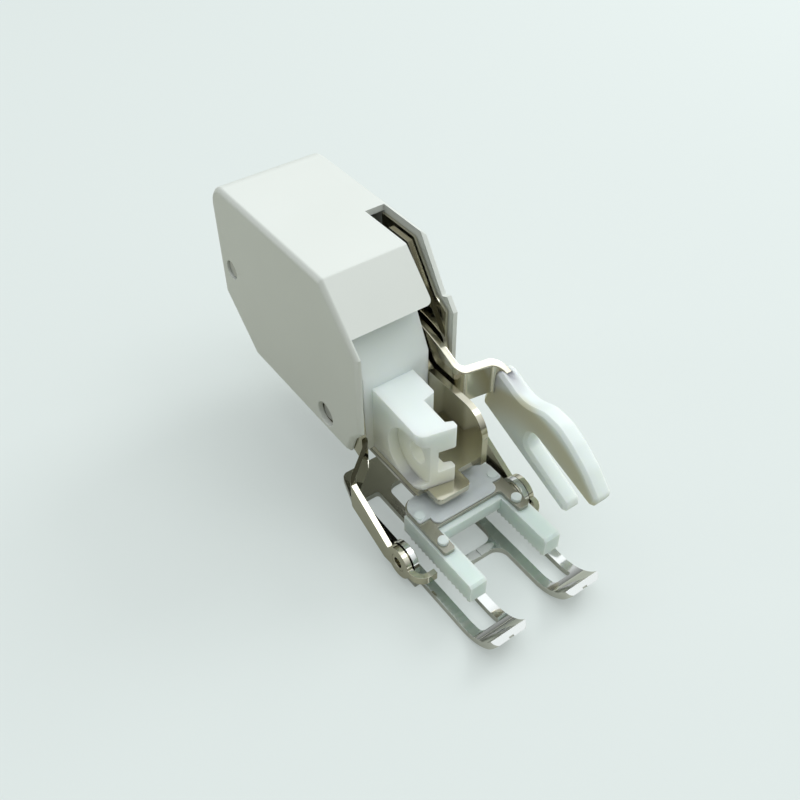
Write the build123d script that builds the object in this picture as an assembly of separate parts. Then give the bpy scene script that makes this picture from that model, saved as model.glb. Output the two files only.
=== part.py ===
from build123d import *
import math
import os

# Lengths are millimetres. X points to the fork's side, Y to the back of the machine, Z up.
# The origin is the middle of the sole's crossbar, at the level of the cloth.

# Fits
RUN_FIT = 0.05
SLIDE_GAP = 0.18
PASS_GAP = 0.15
PLATE_GAP = 0.49
LEVER_GAP = 0.4
CUT = 1.0

# Sole
SOLE_T = 1.2
TOE_X = 7.75
TOE_HALF = 3.54
SLOT_HALF = 1.78
SLOT_FRONT = -12.8
SLOT_REAR = 21.4
SOLE_REAR = 28.7
REAR_HALF = 9.05
HEEL_DEPTH = 7.3
TAPER_Y = 21.6
CROSSBAR_HALF = 0.8
CURL_Y = -9.4
CURL_R = 9.4
CURL_ANGLE = 60
TIP_RADIUS = 1.5
GAP_RADIUS = 2.2
MARK_W = 0.35
MARK_DEPTH = 0.25
TIP_NOTCH_W = 0.9
TIP_NOTCH_DEPTH = 0.35
EAR_T = 1.0
EAR_R = 3.2
EAR_STANDOFF = 0.16
PIVOT_Y = 4.5
PIVOT_Z = 4.3
PIVOT_R = 1.6
PIVOT_BORE = 0.95
RIVET_HEAD_R = 2.3

# Arms
ARM_T = 1.0
ARM_GAP = 0.25
EYELET_R = 3.0
NOSE_Y = -0.9
NOSE_REACH = 9.9
NOSE_HALF = 0.8
NOSE_BEND = 2.0
ARM_RISE = 6.9
ARM_FALL = 1.3
CHEEK_ROOM = 1.4
CHEEK_RUN = 7.3
ARM_BEND = 1.0
FLARE_REAR = 19.8
FLARE_FRONT = 18.4

# Yoke shaft
SHAFT_Y = 30.2
SHAFT_Z = 16.7
SHAFT_R = 1.5

# Housing cover
COVER_HALF = 10.7
COVER_WALL = 1.0
COVER_SHELL = 1.2
COVER_TOP = 46.2
COVER_BOTTOM = 12.9
COVER_FRONT = 19.2
COVER_REAR = 65.2
COVER_SLANT_LOW = 36.2
COVER_SLANT_TOP = 28.8
COVER_TOP_RADIUS = 4.5
COVER_EDGE = 0.7
CHAMFER_BOTTOM_Y = 55.2
CHAMFER_REAR_Z = 22.5
NOTCH_TOP = 20.1
NOTCH_MID_Y = 21.7
NOTCH_MID_Z = 17.0
NOTCH_BOTTOM_Y = 23.2
PANEL_EDGE_Z = 38.7
LEVER_ROOM = 1.1
LEVER_SLOT_REAR = 40.5
RIGHT_FRONT = 21.0
JOG_DEPTH = 1.8
JOG_W = 1.3
SHAFT_WINDOW = 2.3
PIN_WINDOW = 1.8

# Frame bracket
FRAME_T = 1.2
FLOOR_Z = 12.0
FLOOR_FRONT = 8.8
FLOOR_REAR = 26.0
LIP_FRONT = 5.0
LIP_LEFT = -4.8
LIP_RIGHT = 2.0
LIP_RADIUS = 1.0
PLATE_FRONT = 6.8
PLATE_FRONT_TOP = 24.6
PLATE_CORNER = 5.0
PLATE_RISE = 8.0
PLATE_TOP = 38.0
PLATE_BOTTOM = 13.6
WEB_H = 4.4

# Shank block
BLOCK_LEFT = -6.4
FINGER_FRONT_X = 0.44
FINGER_REAR_X = 1.85
BLOCK_FRONT_LEFT = 8.7
BLOCK_FRONT_RIGHT = 7.2
BLOCK_TOP_FRONT = 25.5
BLOCK_TOP_REAR = 26.8
BAR_R = 3.0
BAR_Y = 11.8
BAR_GAP = 0.06
NOTCH_X = -0.8
NOTCH_EASE = 0.55
BLOCK_CORNER = 1.8
BLOCK_EDGE = 0.6
SCREW_Z = 18.8
SCREW_HOLE_R = 2.1
SCREW_SLOT_HALF = 2.35
SCREW_SLOT_LEFT = -2.9
RECESS_R = 5.4
RECESS_DEPTH = 2.0
SLAB_FRONT = 21.5
SLAB_T = 2.6
SLAB_CREASE_Z = 29.4
SLAB_TOP_Z = 39.6
SLAB_LEAN = 27

# Fork lever and drive fork
LEVER_T = 1.2
LEVER_H = 7.1
LEVER_TIP = 7.2
LEVER_NECK = 12.0
LEVER_PIN_Y = 60.9
LEVER_PIN_Z = 29.5
LEVER_PIN_R = 1.1
LEVER_BOSS_R = 2.8
JOGGLE_Y = 16.2
JOGGLE_BEND = 1.6
JOGGLE_SWEEP = 3.2
FORK_X = 14.1
FORK_T = 3.6
FORK_EDGE = 0.6
FORK_LONG = 25.5
FORK_TALL = 19.5
FORK_DROP = 4.0
FORK_ROOT = 2.2

# Hub, cam and rocker
HUB_R = 1.9
HUB_END = 0.6
CAM_W = 4.2
LEVER_SPRING_ROOM = 2.66
CAM_R = 3.6
CAM_THROW = 2.4
CAM_LEAD = 25
CAM_GAP = 0.12
CAM_RING = 0.9
ROCKER_GAP = 1.1
ROCKER_BOSS = 3.0
ROCKER_TAIL = 2.6
ROCKER_PIN_Y = 46.0
ROCKER_PIN_Z = 17.0
ROCKER_PIN_R = 1.2
ROCKER_REAR = 61.0
GUIDE_R = 1.0
GUIDE_WALL = 0.8
GUIDE_LEAD = 3.2
GUIDE_END = 0.2
GUIDE_Z = 12.6
GUIDE_FRONT_Y = 33.4
GUIDE_REAR_Y = 41.6

# Feed
FEED_TRAVEL = 5.0
FEED_T = 0.8
FEED_Z = 9.2
FEED_FRONT = 3.1
FEED_EAR_FRONT = -2.0
FEED_EAR_IN = 6.75
FEED_EAR_OUT = 8.95
FEED_WIDE_REAR = 10.5
TONGUE_GAP = 1.4
CHEEK_FRONT = 26.6
CHEEK_REAR = 44.2
CHEEK_TOP = 14.2
HORN_FRONT = 35.6
HORN_W = 3.0
DOG_TIP_Z = 4.95
DOG_FRONT = -9.2
DOG_REAR = 8.6
TOOTH_PITCH = 1.0
TOOTH_DEPTH = 0.5
BRIDGE_FRONT = 2.0
BRIDGE_REAR = 8.0
BRIDGE_Z = 6.7
STAKE_R = 0.9
STAKE_HEAD = 0.6
PAD_T = 0.4
PAD_INSET = 0.2
PAD_CORNER = 1.2
STAKE_FRONT_Y = 0.1
STAKE_REAR_Y = 6.4

# Springs and fasteners
COIL_WIRE = 0.3
COIL_STEPS = 8
COIL_TURNS = 8
WIRE_SIDES = 6
COIL_GAP = 0.4
SPRING_LEG = 5.0
FEED_SPRING_R = 1.2
HOOK_LEAD = 2.6
FEED_SPRING_Z = 24.5
ANCHOR_Y = 27.2
ANCHOR_R = 0.8
SCREW_R = 1.0
SCREW_HEAD_R = 1.9
SCREW_DEPTH = 7.0
SCREW_INSET = 2.1
COVER_SCREW_LENGTH = 4.2

# Values that follow from the ones above
EAR_IN = TOE_X + TOE_HALF + EAR_STANDOFF
EAR_OUT = EAR_IN + EAR_T
ARM_IN = EAR_OUT + ARM_GAP
ARM_OUT = ARM_IN + ARM_T
ARM_MID = ARM_IN + ARM_T / 2
COVER_INNER = COVER_HALF - COVER_WALL
CHEEK_X = COVER_INNER - PASS_GAP - ARM_T / 2
CHEEK_IN = CHEEK_X - ARM_T / 2
LEVER_X = CHEEK_IN - LEVER_GAP - LEVER_T
LEVER_OUT = LEVER_X + LEVER_T
PANEL_RIGHT = LEVER_X - LEVER_ROOM
FLOOR_TOP = FLOOR_Z + FRAME_T
PLATE_RIGHT_OUT = LEVER_X - PLATE_GAP
PLATE_RIGHT_IN = PLATE_RIGHT_OUT - FRAME_T
PLATE_LEFT_OUT = PLATE_GAP - CHEEK_IN
PLATE_LEFT_IN = PLATE_LEFT_OUT + FRAME_T
PLATE_REAR = COVER_REAR - COVER_SHELL - PASS_GAP
SLAB_LEFT = PLATE_LEFT_OUT
DOG_HALF = SLOT_HALF - SLIDE_GAP
FEED_TOP = FEED_Z + FEED_T
TONGUE_LEFT = PLATE_LEFT_IN + TONGUE_GAP
TONGUE_RIGHT = PLATE_RIGHT_IN - TONGUE_GAP
FEED_SPRING_X = TONGUE_RIGHT - FEED_T - FEED_SPRING_R - COIL_WIRE
ROCKER_LEFT = TONGUE_LEFT + FEED_T + ROCKER_GAP
ROCKER_RIGHT = TONGUE_RIGHT - FEED_T - ROCKER_GAP
COVER_SCREW_X = (PLATE_LEFT_IN + PLATE_RIGHT_IN) / 2
COVER_SCREW_Z = PLATE_TOP - WEB_H / 2
CAM_RIGHT = PLATE_RIGHT_IN - LEVER_SPRING_ROOM
CAM_LEFT = CAM_RIGHT - CAM_W
HUB_LEFT = CAM_LEFT - HUB_END
CAM_LOW_Z = LEVER_PIN_Z - CAM_R - CAM_THROW * math.cos(math.radians(CAM_LEAD))


def side_plate(outline, radii, x_from, x_to):
    """A plate cut to an outline in the side view (Y, Z)."""
    line = FilletPolyline(*outline, radius=radii, close=True)
    face = Plane.YZ * make_face(line.edges())
    return Pos(x_from, 0, 0) * extrude(face, x_to - x_from, dir=(1, 0, 0))


def flat_plate(outline, radii, z_from, z_to):
    """A plate cut to an outline in the plan view (X, Y)."""
    line = FilletPolyline(*outline, radius=radii, close=True)
    return Pos(0, 0, z_from) * extrude(make_face(line.edges()), z_to - z_from, dir=(0, 0, 1))


def rod_x(radius, x_from, x_to, y, z):
    """A round bar or bore along X."""
    return Pos((x_from + x_to) / 2, y, z) * Rot(0, 90, 0) * Cylinder(radius, x_to - x_from)


def rod_y(radius, y_from, y_to, x, z):
    """A round bar or bore along Y."""
    return Pos(x, (y_from + y_to) / 2, z) * Rot(90, 0, 0) * Cylinder(radius, y_to - y_from)


def rod_z(radius, z_from, z_to, x, y):
    """A round bar or bore along Z."""
    return Pos(x, y, (z_from + z_to) / 2) * Cylinder(radius, z_to - z_from)


def block(x_from, x_to, y_from, y_to, z_from, z_to):
    """A rectangular block or cut between two corners."""
    middle = ((x_from + x_to) / 2, (y_from + y_to) / 2, (z_from + z_to) / 2)
    return Pos(*middle) * Box(x_to - x_from, y_to - y_from, z_to - z_from)


def both_sides(solid):
    """A solid with its mirror image on the other side of the needle line."""
    return solid + mirror(solid, about=Plane.YZ)


def side_rims(solid, x_from, x_to):
    """The edges round the two side faces of a plate."""
    left = solid.edges().filter_by_position(Axis.X, x_from, x_from)
    return left + solid.edges().filter_by_position(Axis.X, x_to, x_to)


# Sole: one sheet with curled toes, feed slots, a marked crossbar and two lugs
def make_sole():
    outer = TOE_X + TOE_HALF
    inner = TOE_X - TOE_HALF
    start = (CURL_Y, SOLE_T / 2)
    curl = JernArc(start, (-1, 0), CURL_R - SOLE_T / 2, -CURL_ANGLE)
    tip = curl @ 1
    flat = Line((SOLE_REAR, SOLE_T / 2), start)
    band = Plane.YZ * trace([flat, curl], SOLE_T)
    sheet = Pos(-outer, 0, 0) * extrude(band, 2 * outer, dir=(1, 0, 0))
    tip_y = tip.X - SOLE_T / 2
    bridge_front = -CROSSBAR_HALF - 2 * GAP_RADIUS
    half_plan = [
        (inner, tip_y),
        (outer, tip_y),
        (outer, TAPER_Y),
        (REAR_HALF, SOLE_REAR),
        (0, SOLE_REAR),
        (0, bridge_front),
        (inner, bridge_front),
    ]
    half_radii = [TIP_RADIUS, TIP_RADIUS, TIP_RADIUS, TIP_RADIUS, 0, 0, 0]
    half = make_face(FilletPolyline(*half_plan, radius=half_radii, close=True).edges())
    needle_length = -CROSSBAR_HALF - tip_y + 2 * GAP_RADIUS
    needle_y = -CROSSBAR_HALF - needle_length / 2
    needle_gap = Pos(0, needle_y) * RectangleRounded(2 * inner, needle_length, GAP_RADIUS)
    rear_length = SOLE_REAR - HEEL_DEPTH - CROSSBAR_HALF
    rear_y = CROSSBAR_HALF + rear_length / 2
    rear_gap = Pos(0, rear_y) * RectangleRounded(2 * inner, rear_length, GAP_RADIUS)
    slot_length = SLOT_REAR - SLOT_FRONT
    slot_y = (SLOT_REAR + SLOT_FRONT) / 2
    slot = Pos(TOE_X, slot_y) * RectangleRounded(2 * SLOT_HALF, slot_length, SLOT_HALF / 3)
    plan = half + mirror(half, about=Plane.YZ) - needle_gap - rear_gap
    plan = plan - slot - mirror(slot, about=Plane.YZ)
    sole = sheet & extrude(plan, CURL_R * 2, dir=(0, 0, 1))
    ear_profile = [
        (PIVOT_Y - EAR_R, 0),
        (PIVOT_Y - EAR_R, PIVOT_Z + EAR_R),
        (PIVOT_Y + EAR_R, PIVOT_Z + EAR_R),
        (PIVOT_Y + EAR_R, 0),
    ]
    ear = side_plate(ear_profile, [0, EAR_R * 0.98, EAR_R * 0.98, 0], EAR_IN, EAR_OUT)
    foot = block(outer - EAR_T, EAR_OUT, PIVOT_Y - EAR_R, PIVOT_Y + EAR_R, 0, SOLE_T)
    hole = rod_x(PIVOT_R + RUN_FIT, EAR_IN - CUT, EAR_OUT + CUT, PIVOT_Y, PIVOT_Z)
    sole = sole + both_sides(ear + foot - hole)
    mark = block(-MARK_W / 2, MARK_W / 2, -CROSSBAR_HALF, CROSSBAR_HALF, SOLE_T - MARK_DEPTH, SOLE_T)
    notch_x = (TOE_X - TIP_NOTCH_W / 2, TOE_X + TIP_NOTCH_W / 2)
    notch = block(*notch_x, tip_y - CUT, tip_y + TIP_NOTCH_DEPTH, 0, CURL_R)
    return sole - mark - both_sides(notch)


# Arms: folded sheet, a cheek inside the cover, a flare, an eyelet and a curled nose
def make_right_arm():
    cheek_rear = ROCKER_PIN_Y + ARM_T
    path = FilletPolyline(
        (CHEEK_X, cheek_rear),
        (CHEEK_X, FLARE_REAR),
        (ARM_MID, FLARE_FRONT),
        (ARM_MID, NOSE_Y),
        (NOSE_REACH, NOSE_Y),
        radius=[ARM_BEND, ARM_BEND, NOSE_BEND],
    )
    sheet = extrude(trace(path, ARM_T), COVER_TOP, dir=(0, 0, 1))
    nose_front = NOSE_Y - 2 * ARM_T
    flare_front = FLARE_FRONT - ARM_T * 0.6
    cheek_front = FLARE_REAR + ARM_T * 0.6
    cheek_low = SHAFT_Z - 2 * SHAFT_R
    cheek_top = COVER_TOP - COVER_SHELL - CHEEK_ROOM
    arm_top = PIVOT_Z + ARM_RISE
    arm_low = PIVOT_Z + ARM_FALL
    flare_top = SHAFT_Z + ARM_T
    flare_low = flare_top - ARM_RISE + ARM_FALL
    outline = [
        (nose_front, PIVOT_Z - NOSE_HALF),
        (nose_front, PIVOT_Z + NOSE_HALF),
        (PIVOT_Y - EYELET_R / 2, PIVOT_Z + NOSE_HALF),
        (PIVOT_Y + EYELET_R * 0.67, PIVOT_Z + EYELET_R * 0.2),
        (flare_front, arm_top),
        (flare_front, flare_top),
        (cheek_front, flare_top),
        (RIGHT_FRONT + ARM_T, LEVER_PIN_Z),
        (SHAFT_Y + 2 * ARM_T, cheek_top),
        (SHAFT_Y + CHEEK_RUN, cheek_top),
        (cheek_rear, LEVER_PIN_Z),
        (cheek_rear, cheek_low),
        (SHAFT_Y - 2 * EYELET_R, cheek_low),
        (cheek_front, flare_low),
        (cheek_front, arm_low),
        (flare_front, arm_low),
        (PIVOT_Y + EYELET_R * 1.3, PIVOT_Z - EYELET_R * 0.85),
        (PIVOT_Y, PIVOT_Z - EYELET_R * 0.7),
        (PIVOT_Y - EYELET_R / 2, PIVOT_Z - NOSE_HALF),
    ]
    arm = sheet & side_plate(outline, 0, 0, ARM_OUT + CUT)
    flare = [(CHEEK_IN, flare_top), (ARM_OUT, arm_top), (ARM_OUT, arm_low), (CHEEK_IN, flare_low)]
    face = Plane.XZ * make_face(Polyline(*flare, close=True).edges())
    strip = Pos(0, flare_front, 0) * extrude(face, cheek_front - flare_front, dir=(0, 1, 0))
    zone = block(0, ARM_OUT + CUT, flare_front, cheek_front, 0, COVER_TOP)
    arm = arm - (zone - strip)
    arm = arm + rod_x(EYELET_R, ARM_IN, ARM_OUT, PIVOT_Y, PIVOT_Z)
    arm = arm - rod_x(PIVOT_R, ARM_IN - CUT, ARM_OUT + CUT, PIVOT_Y, PIVOT_Z)
    return arm - rod_x(SHAFT_R, CHEEK_X - ARM_T, CHEEK_X + ARM_T, SHAFT_Y, SHAFT_Z)


# Pivot rivet: hollow, pressed in the arm, with its head inside the sole's lug
def make_right_rivet():
    head_in = EAR_IN - EAR_T / 2
    rivet = rod_x(PIVOT_R, head_in, ARM_OUT, PIVOT_Y, PIVOT_Z)
    rivet = rivet + rod_x(RIVET_HEAD_R, head_in, EAR_IN - RUN_FIT, PIVOT_Y, PIVOT_Z)
    return rivet - rod_x(PIVOT_BORE, head_in - CUT, ARM_OUT + CUT, PIVOT_Y, PIVOT_Z)


# Yoke shaft: pressed in both arms, turns in the bracket's plates
def make_yoke_shaft():
    end = COVER_INNER + COVER_WALL / 4
    return rod_x(SHAFT_R, -end, end, SHAFT_Y, SHAFT_Z)


# Housing cover: thin shell, open below and in front, with a slot for the lever
def make_cover():
    outline = [
        (COVER_SLANT_TOP, COVER_TOP),
        (COVER_REAR, COVER_TOP),
        (COVER_REAR, CHAMFER_REAR_Z),
        (CHAMFER_BOTTOM_Y, COVER_BOTTOM),
        (NOTCH_BOTTOM_Y, COVER_BOTTOM),
        (NOTCH_MID_Y, NOTCH_MID_Z),
        (COVER_FRONT, NOTCH_TOP),
        (COVER_FRONT, COVER_SLANT_LOW),
    ]
    radii = [0, COVER_TOP_RADIUS, 0, 0, 0, 0, 0, 0]
    shell = side_plate(outline, radii, -COVER_HALF, COVER_HALF)
    shell = chamfer(side_rims(shell, -COVER_HALF, COVER_HALF), COVER_EDGE)
    slant = math.atan2(COVER_TOP - COVER_SLANT_LOW, COVER_SLANT_TOP - COVER_FRONT)
    in_y = COVER_SHELL * math.sin(slant)
    in_z = -COVER_SHELL * math.cos(slant)
    edge_y = COVER_SLANT_TOP - (COVER_TOP - PANEL_EDGE_Z) / math.tan(slant)
    inner_top = COVER_TOP - COVER_SHELL
    top_y = COVER_SLANT_TOP + in_y - (COVER_TOP + in_z - inner_top) / math.tan(slant)
    inner_rear = COVER_REAR - COVER_SHELL
    run = (COVER_REAR - CHAMFER_BOTTOM_Y, CHAMFER_REAR_Z - COVER_BOTTOM)
    run_length = math.hypot(*run)
    low_y = CHAMFER_BOTTOM_Y - COVER_SHELL * run[1] / run_length
    low_z = COVER_BOTTOM + COVER_SHELL * run[0] / run_length
    slope = run[1] / run[0]
    below = COVER_BOTTOM - 3 * COVER_WALL
    before = COVER_FRONT - 9 * COVER_WALL
    cavity = [
        (low_y - (low_z - below) / slope, below),
        (inner_rear, low_z + (inner_rear - low_y) * slope),
        (inner_rear, inner_top),
        (top_y, inner_top),
        (edge_y + in_y, PANEL_EDGE_Z + in_z),
        (edge_y - in_y, PANEL_EDGE_Z - in_z),
        (before, PANEL_EDGE_Z - in_z),
        (before, below),
    ]
    cavity_radii = [0, 0, COVER_TOP_RADIUS - COVER_SHELL, 0, 0, 0, 0, 0]
    shell = shell - side_plate(cavity, cavity_radii, -COVER_INNER, COVER_INNER)
    slot_z = (PANEL_EDGE_Z - 4 * COVER_WALL, COVER_TOP + COVER_WALL)
    shell = shell - block(PANEL_RIGHT, COVER_INNER, COVER_FRONT - COVER_WALL, LEVER_SLOT_REAR, *slot_z)
    jog_y = RIGHT_FRONT + JOG_DEPTH
    right_cut = [
        (before, below),
        (RIGHT_FRONT, below),
        (RIGHT_FRONT, COVER_SLANT_LOW - COVER_WALL),
        (jog_y, PANEL_EDGE_Z - COVER_SHELL),
        (jog_y + JOG_W, PANEL_EDGE_Z - JOG_DEPTH),
        (COVER_SLANT_TOP + 2 * COVER_WALL, COVER_TOP + COVER_WALL),
        (before, COVER_TOP + COVER_WALL),
    ]
    shell = shell - side_plate(right_cut, 0, COVER_INNER - PASS_GAP, COVER_HALF + CUT)
    left_side = (-COVER_HALF - CUT, CUT - COVER_INNER)
    right_side = (COVER_INNER - CUT, COVER_HALF + CUT)
    shell = shell - rod_x(SHAFT_WINDOW, *left_side, SHAFT_Y, SHAFT_Z)
    shell = shell - rod_x(SHAFT_WINDOW, *right_side, SHAFT_Y, SHAFT_Z)
    shell = shell - rod_x(PIN_WINDOW, *left_side, LEVER_PIN_Y, LEVER_PIN_Z)
    shell = shell - rod_x(LEVER_PIN_R, *right_side, LEVER_PIN_Y, LEVER_PIN_Z)
    return shell - make_cover_screw()


# Cover screw: countersunk, through the cover's back into the bracket's web
def make_cover_screw():
    head = Pos(COVER_SCREW_X, COVER_REAR - COVER_SHELL / 2, COVER_SCREW_Z) * Rot(-90, 0, 0)
    head = head * Cone(SCREW_R, SCREW_HEAD_R, COVER_SHELL)
    shank = (COVER_REAR - COVER_SCREW_LENGTH, COVER_REAR - COVER_SHELL)
    return head + rod_y(SCREW_R, *shank, COVER_SCREW_X, COVER_SCREW_Z)


# Frame bracket: folded sheet, a floor with a lip, two plates and a rear web
def make_frame():
    floor = block(BLOCK_LEFT, PLATE_RIGHT_OUT, FLOOR_FRONT, FLOOR_REAR, FLOOR_Z, FLOOR_TOP)
    tail_front = SLAB_FRONT + SLAB_T + PASS_GAP
    floor = floor + block(PLATE_LEFT_OUT, BLOCK_LEFT, tail_front, FLOOR_REAR, FLOOR_Z, FLOOR_TOP)
    lip = [
        (LIP_LEFT, LIP_FRONT),
        (LIP_RIGHT, LIP_FRONT),
        (LIP_RIGHT, FLOOR_FRONT + FRAME_T),
        (LIP_LEFT, FLOOR_FRONT + FRAME_T),
    ]
    floor = floor + flat_plate(lip, [LIP_RADIUS, LIP_RADIUS, 0, 0], FLOOR_Z, FLOOR_TOP)
    rear = [
        (PLATE_REAR, PLATE_TOP),
        (PLATE_REAR, CHAMFER_REAR_Z + COVER_SHELL),
        (CHAMFER_BOTTOM_Y - 2 * COVER_WALL, PLATE_BOTTOM),
        (FLOOR_REAR + FRAME_T, PLATE_BOTTOM),
        (FLOOR_REAR, FLOOR_Z),
    ]
    right = [
        (FLOOR_FRONT, FLOOR_Z),
        (PLATE_FRONT, FLOOR_Z + FLOOR_FRONT - PLATE_FRONT),
        (PLATE_FRONT, PLATE_FRONT_TOP),
        (SLAB_FRONT + FRAME_T, PLATE_FRONT_TOP),
        (SLAB_FRONT + PLATE_RISE + FRAME_T, PLATE_TOP),
    ]
    right_radii = [0, 0, PLATE_CORNER, 2 * FRAME_T, 0, 0, 0, 0, 0, 0]
    plates = side_plate(right + rear, right_radii, PLATE_RIGHT_IN, PLATE_RIGHT_OUT)
    lean = math.tan(math.radians(SLAB_LEAN))
    left = [
        (tail_front, FLOOR_Z),
        (tail_front, SLAB_CREASE_Z - FRAME_T),
        (tail_front + (PLATE_TOP - SLAB_CREASE_Z + FRAME_T) * lean, PLATE_TOP),
    ]
    plates = plates + side_plate(left + rear, 0, PLATE_LEFT_OUT, PLATE_LEFT_IN)
    web_z = (PLATE_TOP - WEB_H, PLATE_TOP)
    web = block(PLATE_LEFT_OUT, PLATE_RIGHT_OUT, PLATE_REAR - FRAME_T, PLATE_REAR, *web_z)
    frame = floor + plates + web
    across = (PLATE_LEFT_OUT - CUT, PLATE_RIGHT_OUT + CUT)
    frame = frame - rod_x(SHAFT_R + RUN_FIT, *across, SHAFT_Y, SHAFT_Z)
    frame = frame - rod_x(ROCKER_PIN_R, *across, ROCKER_PIN_Y, ROCKER_PIN_Z)
    frame = frame - rod_x(ANCHOR_R, *across, ANCHOR_Y, FEED_SPRING_Z)
    left_hole = (PLATE_LEFT_OUT - CUT, PLATE_LEFT_IN + CUT)
    frame = frame - rod_x(LEVER_PIN_R, *left_hole, LEVER_PIN_Y, LEVER_PIN_Z)
    right_hole = (PLATE_RIGHT_IN - CUT, PLATE_RIGHT_OUT + CUT)
    frame = frame - rod_x(HUB_R + 2 * PASS_GAP, *right_hole, LEVER_PIN_Y, LEVER_PIN_Z)
    return frame - make_block_screws() - make_cover_screw()


# Block screws: two countersunk screws from below, flush with the floor
def make_block_screws():
    screws = []
    for x in (BLOCK_LEFT + SCREW_INSET, FINGER_REAR_X - SCREW_INSET):
        y = SLAB_FRONT - SCREW_INSET
        head = Pos(x, y, FLOOR_Z + FRAME_T / 2) * Cone(SCREW_HEAD_R, SCREW_R, FRAME_T)
        screws.append(head + rod_z(SCREW_R, FLOOR_TOP, FLOOR_Z + SCREW_DEPTH, x, y))
    return screws[0] + screws[1]


# Shank block: nylon, notched for the presser bar and slotted for its thumb screw
def make_block():
    notch_front = BAR_Y - BAR_R - BAR_GAP
    notch_rear = BAR_Y + BAR_R + BAR_GAP
    inside_slab = SLAB_FRONT + SLAB_T / 2
    plan = [
        (BLOCK_LEFT, BLOCK_FRONT_LEFT),
        (FINGER_FRONT_X, BLOCK_FRONT_RIGHT),
        (FINGER_FRONT_X, notch_front),
        (NOTCH_X, notch_front + NOTCH_EASE),
        (NOTCH_X, notch_rear),
        (FINGER_REAR_X, notch_rear + NOTCH_EASE),
        (FINGER_REAR_X, inside_slab),
        (BLOCK_LEFT, inside_slab),
    ]
    edge = BLOCK_EDGE
    plan_radii = [BLOCK_CORNER, edge, 0, 0, 0, edge, 0, 0]
    low = flat_plate(plan, plan_radii, FLOOR_TOP, BLOCK_TOP_REAR)
    before = BLOCK_FRONT_RIGHT - SLAB_T
    above = BLOCK_TOP_REAR + SLAB_T
    slope = [
        (before, BLOCK_TOP_FRONT),
        (SLAB_FRONT, BLOCK_TOP_REAR),
        (SLAB_FRONT, above),
        (before, above),
    ]
    low = low - side_plate(slope, 0, BLOCK_LEFT - CUT, FINGER_REAR_X + CUT)
    lean = math.tan(math.radians(SLAB_LEAN))
    shift = (SLAB_TOP_Z - SLAB_CREASE_Z) * lean
    slab = [
        (SLAB_FRONT, FLOOR_TOP),
        (SLAB_FRONT, SLAB_CREASE_Z),
        (SLAB_FRONT + shift, SLAB_TOP_Z),
        (SLAB_FRONT + SLAB_T + shift, SLAB_TOP_Z),
        (SLAB_FRONT + SLAB_T, SLAB_CREASE_Z),
        (SLAB_FRONT + SLAB_T, FLOOR_TOP),
    ]
    body = low + side_plate(slab, [0, 0, edge, edge, 0, 0], SLAB_LEFT, PLATE_RIGHT_IN - PASS_GAP)
    recess_x = BLOCK_LEFT + RECESS_DEPTH
    body = body - rod_x(RECESS_R, BLOCK_LEFT - CUT, recess_x, BAR_Y, SCREW_Z)
    body = body - rod_x(SCREW_HOLE_R, recess_x - CUT, SCREW_SLOT_LEFT + CUT, BAR_Y, SCREW_Z)
    slot_x = (SCREW_SLOT_LEFT, FINGER_REAR_X)
    slot_z = (SCREW_Z - SCREW_SLOT_HALF, SCREW_Z + SCREW_SLOT_HALF)
    slot = block(*slot_x, before, BAR_Y, *slot_z) + rod_x(SCREW_SLOT_HALF, *slot_x, BAR_Y, SCREW_Z)
    return body - slot - make_block_screws()


# Fork lever: one strip, joggled outwards to the fork, with a boss on the lever hub
def make_lever():
    strip_mid = LEVER_X + LEVER_T / 2
    tongue_mid = FORK_X + FORK_T / 2
    path = FilletPolyline(
        (strip_mid, LEVER_PIN_Y),
        (strip_mid, JOGGLE_Y),
        (tongue_mid, JOGGLE_Y - LEVER_TIP * 0.14),
        (tongue_mid, JOGGLE_Y - LEVER_TIP * 0.97),
        radius=[JOGGLE_BEND, JOGGLE_SWEEP],
    )
    strip = extrude(trace(path, LEVER_T), COVER_TOP, dir=(0, 0, 1))
    upper = [(-1, -1.606), (-1, -1.014), (-0.444, -0.648), (0.097, -0.268), (0.639, -0.028), (1.458, 0.197)]
    lower = [(1.458, -0.789), (0.639, -1.028), (0.097, -1.239)]
    neck_y = LEVER_PIN_Y - LEVER_NECK
    outline = [(JOGGLE_Y + LEVER_TIP * y, LEVER_PIN_Z + LEVER_H * z) for y, z in upper]
    outline.append((neck_y, LEVER_PIN_Z + LEVER_H / 2))
    outline.append((LEVER_PIN_Y, LEVER_PIN_Z + LEVER_BOSS_R))
    outline.append((LEVER_PIN_Y, LEVER_PIN_Z - LEVER_BOSS_R))
    outline.append((neck_y, LEVER_PIN_Z - LEVER_BOSS_R))
    outline += [(JOGGLE_Y + LEVER_TIP * y, LEVER_PIN_Z + LEVER_H * z) for y, z in lower]
    bends = [0, 0, 0.28, 0.28, 1.1, 2.8, 1.4, 0, 0, 1.4, 2.8, 1.1, 0.28]
    profile = side_plate(outline, [LEVER_H * bend for bend in bends], LEVER_X - CUT, FORK_X + FORK_T)
    boss = rod_x(LEVER_BOSS_R, LEVER_X, LEVER_OUT, LEVER_PIN_Y, LEVER_PIN_Z)
    bore = rod_x(HUB_R, LEVER_X - CUT, LEVER_OUT + CUT, LEVER_PIN_Y, LEVER_PIN_Z)
    return (strip & profile) + boss - bore


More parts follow.
